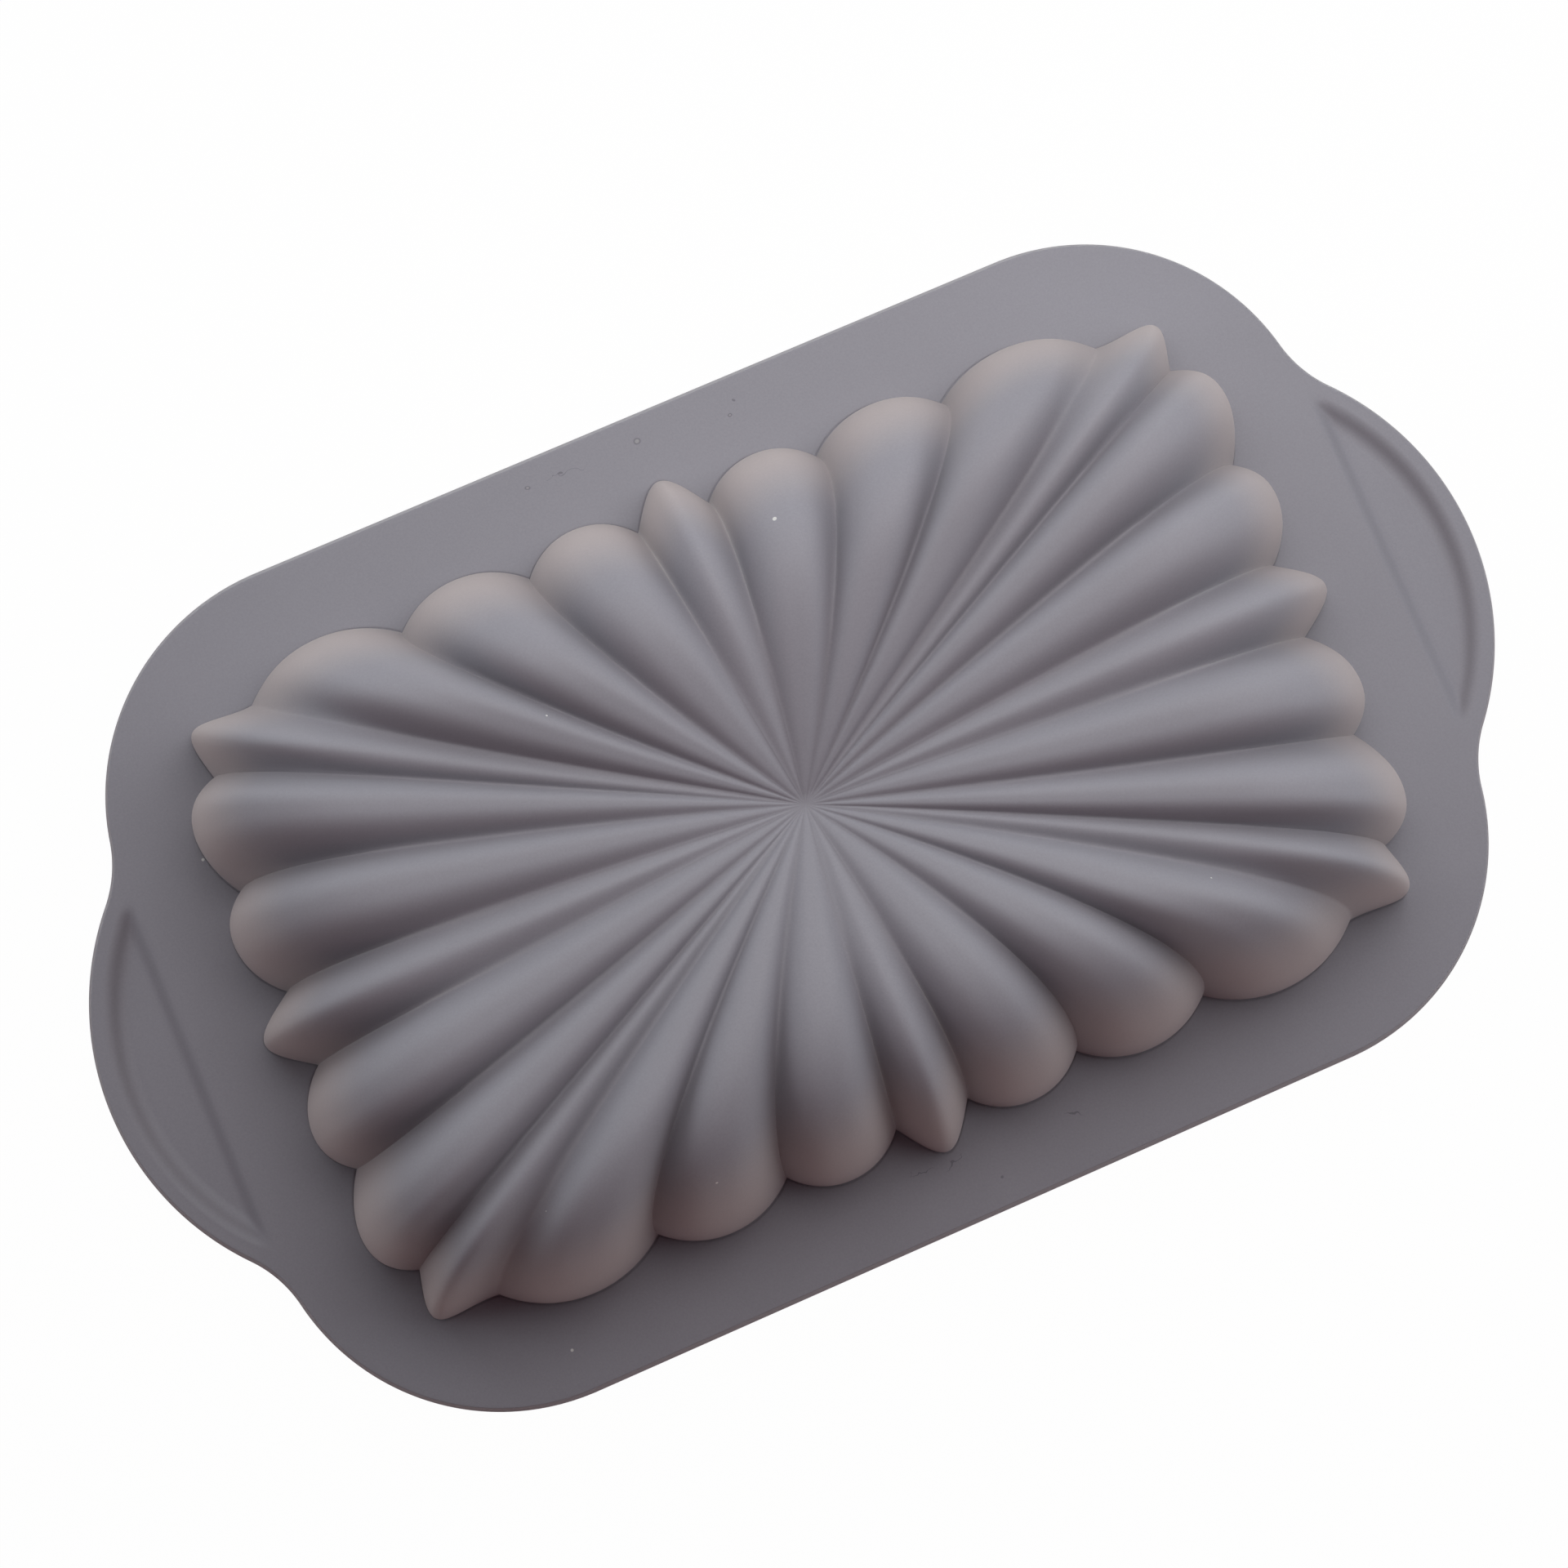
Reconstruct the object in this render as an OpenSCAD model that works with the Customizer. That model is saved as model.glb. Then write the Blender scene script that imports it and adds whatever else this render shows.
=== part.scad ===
// Fluted silicone loaf mould, lying upside down on its rim.
// The origin is on the table, under the middle of the mould. X runs along its length and Z points up.
// The mould is one moulding. Its four regions meet face to face: the fluted well, the flat rim round it
// and the two grips at its ends.

/* [Rim] */
// Length of the rim between its straight end edges
rim_l = 243.8; // [236:0.2:270]
// Width of the rim across its long edges
rim_w = 165.8; // [154:0.2:190]
// Radius of the rim's four corners
rim_r = 44.6; // [30:0.2:56]
// Thickness of the rim and of the grips
rim_t = 3; // [2:0.1:5]

/* [Grips] */
// How far each grip stands out past the end edge of the rim
grip_out = 18.1; // [14:0.1:24]
// Radius of a grip's outer edge
grip_r = 53.8; // [46:0.2:62]
// Radius of the hollow curve that runs from a grip into the rim's corner
neck_r = 24.4; // [16:0.2:32]
// How far a grip's root reaches in over the end edge of the rim
grip_root = 4; // [3.6:0.1:6]
// Depth of the finger recess in each grip
recess_d = 1; // [0.4:0.1:1.5]
// Width of the border between the finger recess and the grip's outer edge
recess_border = 4.8; // [3:0.1:8]
// Distance from the end edge of the rim out to the straight side of the finger recess
recess_in = 1.6; // [0.6:0.1:4]

/* [Well outline] */
// Distance between the valleys of the two long sides, at the foot of the flutes
well_w = 124; // [116:0.5:130]
// Distance between the valleys of the two ends, at the foot of the flutes
well_l = 205.4; // [198:0.2:212]
// Width of the pointed flute in the middle of each long side
side_point_w = 14.6; // [12:0.2:18]
// Width of the round flutes on both sides of it
side_first_w = 22.2; // [19:0.2:24]
// Width of the next round flutes along the long side
side_second_w = 26; // [23:0.2:28]
// Width of the broad flutes beside the corners
side_broad_w = 31.5; // [29:0.2:33]
// Width of the pointed flute in the middle of each end
end_point_w = 14.8; // [12:0.2:18]
// Width of the round flutes on both sides of it
end_first_w = 20.4; // [18:0.2:22]
// Width of the round flutes of the end beside the corners
end_second_w = 22.1; // [20:0.2:24]
// How far the corner's first valley lies in from the row of the long side
side_draw_in = 1.7; // [0:0.1:4]
// How far the corner's second valley lies in from the row of the end
end_draw_in = 3.6; // [1:0.1:6]
// How far the middle valleys of the end lie in from the row of the end
end_bow = 0.8; // [0:0.1:2]
// How far a round flute bulges out from its two valleys
round_out = 5.3; // [3:0.1:7]
// How far the round flutes beside a corner bulge out
broad_out = 6; // [4:0.1:8]
// How far a pointed flute stands out from its two valleys
point_out = 7.6; // [5:0.1:9]

/* [Well height] */
// Height of the valleys over the rim, where they are highest
valley_h = 36; // [28:0.5:42]
// Height of the middle of the well over the rim, where all flutes meet
centre_h = 28; // [20:0.5:34]
// Height of a round flute over its valleys
rib_h = 9; // [5:0.2:11]
// Height of the broad flutes over their valleys
broad_rib_h = 9.4; // [5:0.2:12]
// Height of the corner flutes over their valleys
corner_rib_h = 6.8; // [4:0.2:9]
// Height of the pointed flutes in the middle of the sides over their valleys
point_rib_h = 5.6; // [3:0.2:8]
// Distance over which the wall rises and rounds over into the top
shoulder_run = 45; // [32:1:52]
// Thickness of the wall
wall_t = 2.5; // [1.8:0.1:3.2]

/* [Hidden] */
$fn = 180;

well_colour = [0.56, 0.55, 0.58];
rim_colour = [0.52, 0.52, 0.55];

// How round the wall's foot and shoulder are, as the two powers of a superellipse
foot_power = 1.4;
shoulder_power = 3;
// How round the tip of a pointed flute is, in shares of its half width
tip_round = 0.5;
// How hollow the flanks of a pointed flute are
flank_power = 1.2;
// How full the back of a round flute is
back_power = 2.1;

// Valleys of one quarter of the well, from the middle of a long side to the middle of an end
side_x = [
    side_point_w / 2,
    side_point_w / 2 + side_first_w,
    side_point_w / 2 + side_first_w + side_second_w,
    side_point_w / 2 + side_first_w + side_second_w + side_broad_w
];
end_y = [
    end_point_w / 2 + end_first_w + end_second_w,
    end_point_w / 2 + end_first_w,
    end_point_w / 2
];
quarter_valleys = [
    [side_x[0], well_w / 2],
    [side_x[1], well_w / 2],
    [side_x[2], well_w / 2],
    [side_x[3], well_w / 2 - side_draw_in],
    [well_l / 2 - end_draw_in, end_y[0]],
    [well_l / 2, end_y[1]],
    [well_l / 2 - end_bow, end_y[2]]
];
// Direction in which each of those valleys opens outwards, in degrees from the long side's normal
valley_turn = [0, 0, 0, 30, 62, 90, 90];
// Distance over which each of those valleys runs straight in before it bends to the centre
valley_run = [15, 18, 16, 12, 14, 15, 14];
last_valley = len(quarter_valleys) - 1;
per_quarter = len(quarter_valleys);
flutes = 4 * per_quarter;

// The eight kinds of flute, in order from the long side's first round flute to the end's pointed one,
// and last the long side's pointed flute
kind_out = [round_out, round_out, broad_out, point_out, broad_out, round_out, point_out, point_out];
kind_rib = [rib_h, rib_h, broad_rib_h, corner_rib_h, rib_h, rib_h, point_rib_h, point_rib_h];
kind_pointed = [false, false, false, true, false, false, true, true];
// How far the ridge of each kind leans towards one of its valleys
kind_lean = [0, 0, 0, 0.5, -0.35, -0.2, 0, 0];

// Columns across a pointed and a round flute, and rows from the foot to the centre
pointed_columns = 6;
round_columns = 8;
outer_rows = 12;
inner_rows = 8;
// How much closer the rows lie at the foot than at the centre
row_power = 1.6;

function mix_of(a, b, u) = a * (1 - u) + b * u;
function unit_of(v) = v / norm(v);

// The valleys run clockwise round the well, seen from above, from the middle of its back long side
function quarter_of(i) = floor(i / per_quarter) % 4;
function place_of(i) = let (j = i % per_quarter) quarter_of(i) % 2 == 0 ? j : last_valley - j;
function sign_of(i) = [quarter_of(i) < 2 ? 1 : -1, quarter_of(i) % 3 == 0 ? 1 : -1];
function mirrored(v, s) = [v[0] * s[0], v[1] * s[1]];
function valley_at(i) = mirrored(quarter_valleys[place_of(i)], sign_of(i));
function opening_at(i) = let (a = valley_turn[place_of(i)]) mirrored([sin(a), cos(a)], sign_of(i));
function run_at(i) = valley_run[place_of(i)];

// The kind of each flute, and the side to which its ridge leans
function kind_of(i) = let (k = i % (2 * per_quarter)) k <= last_valley ? k
    : k == 2 * per_quarter - 1 ? per_quarter : 2 * last_valley - k;
function lean_of(i) = kind_lean[kind_of(i)] * (i % (2 * per_quarter) <= last_valley ? 1 : -1);

// Outline of a flute's foot and section of its back, both 0 in the valleys and 1 on the ridge.
// The place w runs from -1 to 1 across the flute.
function tip_of(w) = 1 - (sqrt(w * w + tip_round * tip_round) - tip_round)
    / (sqrt(1 + tip_round * tip_round) - tip_round);
function arc_of(w, half, out) = let (r = (half * half + out * out) / (2 * out))
    (sqrt(r * r - half * half * w * w) - (r - out)) / out;
function foot_of(i, w, half) = kind_pointed[kind_of(i)]
    ? pow(max(tip_of(w), 0), flank_power) : arc_of(w, half, kind_out[kind_of(i)]);
function back_of(i, w) = kind_rib[kind_of(i)]
    * (kind_pointed[kind_of(i)] ? pow(max(tip_of(w), 0), flank_power) : 1 - pow(abs(w), back_power));

// One column of the well: its foot, its direction outwards, the point to which it heads before it bends
// to the centre, and its height over the valleys
function bend_at(i) = valley_at(i) - opening_at(i) * run_at(i);
function column_of(i, u) = let (
    next = (i + 1) % flutes,
    a = valley_at(i),
    b = valley_at(next),
    normal = unit_of([a[1] - b[1], b[0] - a[0]]),
    w = 2 * (u - lean_of(i) * u * (1 - u)) - 1,
    foot = mix_of(a, b, u) + normal * kind_out[kind_of(i)] * foot_of(i, w, norm(b - a) / 2)
) [
    foot,
    unit_of(mix_of(opening_at(i), opening_at(next), u)),
    mix_of(bend_at(i), bend_at(next), u),
    back_of(i, w)
];

// Columns lie closer together beside the valleys
function step_of(j, n) = 0.5 * (j / n + 0.5 - 0.5 * cos(180 * j / n));
columns = [
    for (i = [0 : flutes - 1])
        let (n = kind_pointed[kind_of(i)] ? pointed_columns : round_columns)
            for (j = [0 : n - 1]) column_of(i, step_of(j, n))
];
column_count = len(columns);

// Height of the wall and shoulder at a distance from the foot, 0 at the foot and 1 on the top
function wall_of(d) = pow(1 - pow(max(1 - d / shoulder_run, 0), shoulder_power), 1 / foot_power);
// Height of the top at a share of the way from the centre, 0 in the centre and 1 over the foot
function top_of(share, back) = valley_h - (valley_h - centre_h) * pow(1 - share, 2) + back * share;

// A point of the outer face (inset 0) or of the inner face (inset is the wall's thickness)
function skin_point(c, t, inset, foot_z, lift) = let (
    foot = c[0] - c[1] * inset,
    bend = c[2] - c[1] * inset,
    plan = foot * (1 - t) * (1 - t) + bend * 2 * t * (1 - t),
    share = min(norm(plan) / norm(foot), 1),
    z = foot_z + (top_of(share, c[3]) + lift) * wall_of(norm(plan - foot))
) [plan[0], plan[1], z];
function ring_at(t, inset, foot_z, lift) = [for (c = columns) skin_point(c, t, inset, foot_z, lift)];
function row_of(j, n) = pow(j / n, row_power);

// Rings of the well from the top of its outer face down to the table and up again inside
inner_lift = rim_t - wall_t;
well_rings = [
    for (j = [outer_rows - 1 : -1 : 0]) ring_at(row_of(j, outer_rows), 0, rim_t, 0),
    [for (c = columns) [c[0][0], c[0][1], 0]],
    for (j = [0 : inner_rows - 1]) ring_at(row_of(j, inner_rows), wall_t, 0, inner_lift)
];
ring_count = len(well_rings);
well_points = concat(
    [for (ring = well_rings) each ring],
    [[0, 0, rim_t + centre_h], [0, 0, rim_t + centre_h - wall_t]]
);
outer_centre = ring_count * column_count;
inner_centre = outer_centre + 1;
function point_at(r, c) = r * column_count + c % column_count;
well_faces = concat(
    [for (c = [0 : column_count - 1]) [outer_centre, point_at(0, c), point_at(0, c + 1)]],
    [for (r = [0 : ring_count - 2]) for (c = [0 : column_count - 1]) each [
        [point_at(r, c), point_at(r + 1, c), point_at(r + 1, c + 1)],
        [point_at(r, c), point_at(r + 1, c + 1), point_at(r, c + 1)]
    ]],
    [for (c = [0 : column_count - 1])
        [point_at(ring_count - 1, c), inner_centre, point_at(ring_count - 1, c + 1)]]
);

// Centres of the rim's corner, of the grip's outer edge and of the hollow curve that touches both
corner_centre = [rim_l / 2 - rim_r, rim_w / 2 - rim_r];
lobe_centre = [rim_l / 2 + grip_out - grip_r, 0];
function touching(a, ra, b, rb) = let (
    gap = norm(b - a),
    along = (ra * ra - rb * rb + gap * gap) / (2 * gap),
    across = sqrt(ra * ra - along * along),
    way = (b - a) / gap
) a + way * along + [-way[1], way[0]] * across;
neck_centre = touching(corner_centre, rim_r + neck_r, lobe_centre, grip_r + neck_r);
// Cut through rim and grip, and how far cutting shapes reach past what they cut
seam_x = rim_l / 2 - grip_root;
cut = 1;

// Edge of a grip, from the seam round the rim's corner and the hollow curve to the outer edge and back
corner_steps = 4;
neck_steps = 8;
lobe_steps = 32;
function angle_to(a, b) = atan2(b[1] - a[1], b[0] - a[0]);
function arc_point(centre, r, from, to, share) = let (a = mix_of(from, to, share))
    centre + r * [cos(a), sin(a)];
seam_angle = acos((seam_x - corner_centre[0]) / rim_r);
corner_angle = angle_to(corner_centre, neck_centre);
lobe_angle = angle_to(lobe_centre, neck_centre);
grip_root_edge = [
    for (j = [0 : corner_steps - 1])
        arc_point(corner_centre, rim_r, seam_angle, corner_angle, j / corner_steps),
    for (j = [0 : neck_steps - 1])
        arc_point(neck_centre, neck_r, corner_angle - 180, lobe_angle - 180, j / neck_steps)
];
grip_edge = [
    each grip_root_edge,
    for (j = [0 : lobe_steps]) arc_point(lobe_centre, grip_r, lobe_angle, -lobe_angle, j / lobe_steps),
    for (i = [len(grip_root_edge) - 1 : -1 : 0]) mirrored(grip_root_edge[i], [1, -1])
];

module rim_outline() {
    square([rim_l - 2 * rim_r, rim_w], center = true);
    square([rim_l, rim_w - 2 * rim_r], center = true);
    for (sx = [-1, 1], sy = [-1, 1])
        translate([sx * corner_centre[0], sy * corner_centre[1]]) circle(rim_r);
}

module recess_outline() {
    intersection() {
        translate(lobe_centre) circle(grip_r - recess_border);
        translate([rim_l / 2 + recess_in, -rim_w / 2]) square([grip_r, rim_w]);
    }
}

module fluted_well() {
    color(well_colour) polyhedron(points = well_points, faces = well_faces, convexity = 8);
}

module rim_flange() {
    color(rim_colour) linear_extrude(rim_t) difference() {
        intersection() {
            rim_outline();
            square([2 * seam_x, rim_w + 2 * cut], center = true);
        }
        polygon([for (c = columns) c[0]]);
    }
}

module right_grip() {
    color(rim_colour) difference() {
        linear_extrude(rim_t) polygon(grip_edge);
        translate([0, 0, rim_t - recess_d]) linear_extrude(recess_d + cut) recess_outline();
    }
}

module left_grip() {
    mirror([1, 0, 0]) right_grip();
}

fluted_well();
rim_flange();
left_grip();
right_grip();
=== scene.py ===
import math

import bmesh
import bpy
import numpy as np
from mathutils import Matrix, Vector


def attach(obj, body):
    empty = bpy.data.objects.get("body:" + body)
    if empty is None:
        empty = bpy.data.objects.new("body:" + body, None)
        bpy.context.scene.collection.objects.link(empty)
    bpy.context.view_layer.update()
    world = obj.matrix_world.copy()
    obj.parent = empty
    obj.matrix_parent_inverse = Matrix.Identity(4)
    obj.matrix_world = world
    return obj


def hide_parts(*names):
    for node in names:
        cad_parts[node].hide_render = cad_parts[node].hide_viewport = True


# Fluted silicone loaf mould, lying upside down on its rim.
# The frame's X runs along the mould, Z points up, and the table is at Z = 0.
# Lengths are in millimetres, as in the solids, and become metres when a mesh is made. Only the table, the
# camera, the lights and the materials' scales are in metres.

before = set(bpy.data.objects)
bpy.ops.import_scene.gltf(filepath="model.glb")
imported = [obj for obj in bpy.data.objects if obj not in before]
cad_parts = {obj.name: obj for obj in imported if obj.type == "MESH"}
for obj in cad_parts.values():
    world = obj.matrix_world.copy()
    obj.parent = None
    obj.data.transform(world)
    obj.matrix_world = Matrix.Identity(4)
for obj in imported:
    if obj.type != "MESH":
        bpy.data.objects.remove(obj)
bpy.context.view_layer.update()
MM = 0.001

# Rim: length, width, corner radius and thickness
RIM_L = 243.8
RIM_W = 165.8
RIM_R = 44.6
RIM_T = 3.0
# The rim's side slopes outwards: from a small round at its top, inside the solids' outline by EDGE_START, it
# reaches past that outline by EDGE_OUT, and a second round leads back below
EDGE_START = 0.75
EDGE_TOP_R = 0.3
EDGE_OUT = 0.6
EDGE_LOW_R = 0.4

# Grips: how far the lobe reaches past the rim's end, its radius, the radius of the hollow neck between lobe
# and corner, and the place of the seam
GRIP_OUT = 18.1
GRIP_R = 53.8
NECK_R = 24.4
SEAM_X = RIM_L / 2 - 4.0
# Distance of the finger recess's curved side from the grip's edge, and place of its straight side past the
# rim's end
RECESS_BORDER = 2.7
RECESS_IN = -0.7
# Depth and width of the step down from the recess's straight side, and of the slope on from there
RECESS_STEP_D = 1.3
RECESS_STEP_RUN = 3.5
RECESS_SLOPE_D = 0.25
RECESS_SLOPE_RUN = 9.0
# How much deeper the floor gets towards the curved side, over which width, and how far from the straight
# side that hollow is full; then the width of the curved side's wall
GROOVE_D = 0.5
GROOVE_W = 2.0
GROOVE_RUN = 4.0
RECESS_WALL = 4.4
# How far the recess reaches along its straight side from the middle, and over which run its ends fade
RECESS_REACH = 35.8
RECESS_END_RUN = 4.0
# Place and half width of the lines of painted shade beside the recess's curved side and at the foot of its
# straight side, how strong the second is next to the first, and over which run each fades beside the other
# side
GROOVE_LINE_AT = 2.0
GROOVE_LINE_W = 1.0
STRAIGHT_LINE_AT = 1.9
STRAIGHT_LINE_W = 1.3
STRAIGHT_LINE_SHARE = 0.6
RECESS_LINE_RUN = 3.0

# Well outline over its valleys, widths of the flutes from the middle of a side and of an end outwards (half
# of the middle one), how far the corner's valleys and the end's middle draw in, and how far round, broad and
# pointed flutes bulge out
WELL_W = 124.0
WELL_L = 205.4
SIDE_WIDTHS = [14.6 / 2, 22.2, 26.0, 31.5]
END_WIDTHS = [14.8 / 2, 20.4, 22.1]
SIDE_DRAW_IN = 1.7
END_DRAW_IN = 3.6
END_BOW = 0.8
ROUND_OUT = 5.3
BROAD_OUT = 6.0
POINT_OUT = 7.6

# Well height over the rim at the valleys' shoulder and in the middle, and of the flutes' backs over their
# valleys
VALLEY_H = 36.0
CENTRE_H = 28.0
RIB_H = 9.0
BROAD_RIB_H = 9.4
CORNER_RIB_H = 5.6
POINT_RIB_H = 5.6
# The middle of the well dips further, in a cone that fades outwards
CONE_H = 2.6
CONE_RUN = 15.0
# The wall rises over this run as a superellipse with these two powers
SHOULDER_RUN = 45.0
FOOT_POWER = 1.4
SHOULDER_POWER = 3.0
# Thickness of the well's wall
WALL_T = 2.5

# Valleys of one quarter, from the middle of a long side to the middle of an end
SIDE_X = np.cumsum(SIDE_WIDTHS)
END_Y = np.cumsum(END_WIDTHS)
QUARTER_VALLEYS = [
    [SIDE_X[0], WELL_W / 2],
    [SIDE_X[1], WELL_W / 2],
    [SIDE_X[2], WELL_W / 2],
    [SIDE_X[3], WELL_W / 2 - SIDE_DRAW_IN],
    [WELL_L / 2 - END_DRAW_IN, END_Y[2]],
    [WELL_L / 2, END_Y[1]],
    [WELL_L / 2 - END_BOW, END_Y[0]],
]
# Direction in which each valley opens, degrees from the long side's normal, and its straight run
VALLEY_TURN = np.radians([0, 0, 0, 30, 62, 90, 90])
VALLEY_RUN = [15, 17, 12, 12, 14, 15, 14]
# How round each valley's bottom is at the foot, how far out from the centre that roundness starts, and
# how high the valley is filled up at the foot; further in every valley is as round as INNER_ROUND, and
# nearer to the centre than LEAST_SHARE of the way no sharper
INNER_ROUND = 0.8
LEAST_SHARE = 0.02
VALLEY_ROUND = [1.6, 3.0, 3.0, 6.0, 5.5, 3.0, 2.0]
VALLEY_ROUND_START = [0.75, 0.7, 0.7, 0.62, 0.66, 0.75, 0.75]
VALLEY_FILL = [0.7, 1.6, 1.8, 3.4, 3.2, 1.6, 1.0]
# How much of the pale line along its bottom each valley shows
VALLEY_PALE_LINE = [0.8, 0.2, 0.2, 0.05, 0.0, 0.15, 0.3]

# The eight kinds of flute, from the long side's first round one to the end's pointed one, and last the
# long side's pointed one
KIND_OUT = np.array([ROUND_OUT, ROUND_OUT, BROAD_OUT, POINT_OUT, BROAD_OUT, ROUND_OUT, POINT_OUT, POINT_OUT])
KIND_RIB = np.array([RIB_H, RIB_H, BROAD_RIB_H, CORNER_RIB_H, RIB_H, RIB_H, POINT_RIB_H, POINT_RIB_H])
KIND_POINTED = np.array([False, False, False, True, False, False, True, True])
CORNER_KIND = 3
# How far each kind's ridge leans to one side, and how round a pointed flute's tip is
KIND_LEAN = np.array([0, 0, 0, 0.5, -0.35, -0.2, 0, 0])
TIP_ROUND = 0.6
TIP_POWER = 1.05
# Share of the way to the centre over which a pointed flute gets fuller than its foot
TIP_FULL_T = 0.07
# How narrow the pointed flutes' ridges are inside and at the foot
RIDGE_POWER_IN = 1.4
RIDGE_POWER_FOOT = 1.0
CORNER_RIDGE_POWER = 1.0
# How full the round flutes' backs are, and how fast the backs of each kind sink towards the centre
BACK_POWER = 2.9
KIND_SINK = np.array([1.35, 1.35, 1.35, 1.6, 1.35, 1.35, 1.4, 1.4])
# How much of its height a pointed flute's ridge loses on its way to its tip, and from where
TIP_FALL = 0.35
TIP_FALL_START = 0.78

# Flutes of a quarter and of the well; the kind and the lean of each, clockwise
PER_QUARTER = 7
FLUTES = 4 * PER_QUARTER
FLUTE_KIND = np.array(([0, 1, 2, 3, 4, 5, 6] + [5, 4, 3, 2, 1, 0, 7]) * 2)
FLUTE_LEAN = KIND_LEAN[FLUTE_KIND] * np.array(([1] * PER_QUARTER + [-1] * PER_QUARTER) * 2)

# Fineness of the meshes: columns of a flute and how much they crowd at its valleys, and rows of the well's
# faces, which crowd at the foot by a power
ROUND_COLUMNS = 26
POINTED_COLUMNS = 38
ROUND_CROWDING = 0.7
POINTED_CROWDING = 0.25
OUTER_ROWS = 74
INNER_ROWS = 30
ROW_POWER = 1.65
# Rows across the top and the underside of the rim and of the grips, points along the grip's three arcs, and
# points of the edge's two rounds
RIM_TOP_ROWS = 12
RIM_LOW_ROWS = 6
GRIP_TOP_ROWS = 90
GRIP_LOW_ROWS = 12
CORNER_POINTS = 16
NECK_POINTS = 24
LOBE_POINTS = 161
EDGE_TOP_POINTS = 7
EDGE_LOW_POINTS = 6
# An edge sharper than this, in degrees, isn't shaded smooth, and points nearer than this, in metres, are one
SHARP_DEGREES = 50
SAME_PLACE = 1e-7
# How far the foot of the wall lies inside the outline of the solids
FOOT_INSET = 0.8
# Fine crease where the flutes meet the rim: its width and depth, the width of the rim's round beside it and
# that round's points as shares of its width and of the crease's depth
CREASE_W = 0.3
CREASE_D = 0.12
CREASE_EDGE = 0.5
CREASE_STEPS = np.array([[0.0, 1.0], [0.08, 0.5], [0.4, 0.1]])
# Small round at the mouth of the hollow, and its middle point's share of it
MOUTH_ROUND = 0.6
MOUTH_MIDDLE = 0.3
# Farthest way from the well to the rim's edge, how often the search for the edge halves it, and the least
# part along X of a way that is taken to reach a seam
WAY_MAX = 60.0
HALVINGS = 48
LEAST_X = 1e-9

# Masks of the well: the shoulders' painted warm bounce light is full up to this distance from the foot and
# fades over this run; half width of the valleys' painted shade, as a share of half a flute; half width of
# the pale line along the valleys, the share of the way to the foot at which it starts, and its run
SHOULDER_START = 3
SHOULDER_FADE = 16
VALLEY_SHADE_W = 0.35
LINE_W = 0.22
LINE_START = 0.45
LINE_RUN = 0.4

# Colours of the silicone, of the painted warm bounce light on its shoulders, of the painted shade in its
# valleys and recesses, of the pale valley line and painted highlights, and of what lies on it
SILICONE_GREY = (0.318, 0.307, 0.343, 1)
# Painted warm bounce light on the flutes' steep shoulders
SHOULDER_BOUNCE_LIGHT = (0.505, 0.435, 0.425, 1)
# Painted shade in the valleys and in the grips' recesses
PAINTED_SHADE = (0.2, 0.185, 0.21, 1)
# Pale line along the valleys' bottoms, and painted highlights in the bubble and pits
PALE_LINE_AND_HIGHLIGHT = (0.6, 0.58, 0.58, 1)
# Dark marks: a real dot, streak and hairs, and the painted shade of the bubble's and pits' rims
MARK_DARK = (0.1, 0.09, 0.11, 1)
DUST_WHITE = (0.75, 0.74, 0.72, 1)
# How much of each tone the shoulders' painted bounce light, the valleys' and the recesses' painted shade and
# the marks take
BOUNCE_LIGHT_SHARE = 0.88
VALLEY_SHADE_SHARE = 0.35
GROOVE_SHADE_SHARE = 0.62
MARK_DARK_SHARE = 0.5
HIGHLIGHT_MARK_SHARE = 0.4

# The skin's cloudiness and grain: scales of their noises (in turns a metre), and how far each makes the
# colour darker or paler, as a lowest gain and a span
CLOUD_SCALE = 22.0
CLOUD_DETAIL = 3.0
CLOUD_LOW = 0.93
CLOUD_SPAN = 0.14
GRAIN_SCALE = 2400.0
GRAIN_DETAIL = 2.0
GRAIN_ROUGHNESS = 0.6
GRAIN_LOW = 0.91
GRAIN_SPAN = 0.18
# Rare specks of dust: cells a metre, scale of the noise that sets a speck's reach, and that reach
DUST_SCALE = 70.0
DUST_SIZE_SCALE = 31.0
DUST_REACH_LOW = -0.034
DUST_REACH_SPAN = 0.09
# Patches in which the valleys' pale line shows
PATCH_SCALE = 60.0
PATCH_DETAIL = 2.0
# Noise that bends a long mark, and where a mark's edge fades
WANDER_SCALE = 700.0
WANDER_DETAIL = 1.0
MARK_EDGE_OUT = 1.2
MARK_EDGE_IN = 0.7
# The skin's finish: roughness, share of the clouds in its relief, depth of that relief in metres
ROUGHNESS_LOW = 0.5
ROUGHNESS_SPAN = 0.12
CLOUD_HEIGHT = 0.4
RELIEF_STRENGTH = 0.25
RELIEF_DEPTH = 0.00006
SPECULAR = 0.35
SHEEN = 0.12
SHEEN_ROUGHNESS = 0.45

# Marks in the rim: x, y, turn in degrees, half length, half width and how far it wanders.
# A bubble and pits, whose dark rims are painted shade, and a dot; a streak along the far side; hairs on the
# near side; then painted highlights in the bubble and two of the pits.
DARK_MARKS = (
    (-0.4, 77.8, 0, 0.75, 0.65, 0.2),
    (19.7, 77.9, 40, 0.4, 0.25, 0.2),
    (17.9, 75.5, 0, 0.45, 0.35, 0.3),
    (-23.1, 77.7, 20, 0.6, 0.4, 0.3),
    (7.4, -77.2, 0, 0.3, 0.3, 0.1),
    (-15.5, 77.6, 8, 4.5, 0.07, 3.0),
    (24.5, -71.8, 30, 1.8, 0.1, 1.6),
    (0.2, -71.1, -20, 2.2, 0.1, 2.2),
    (-5.8, -70.4, 10, 2.4, 0.12, 2.6),
)
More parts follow.
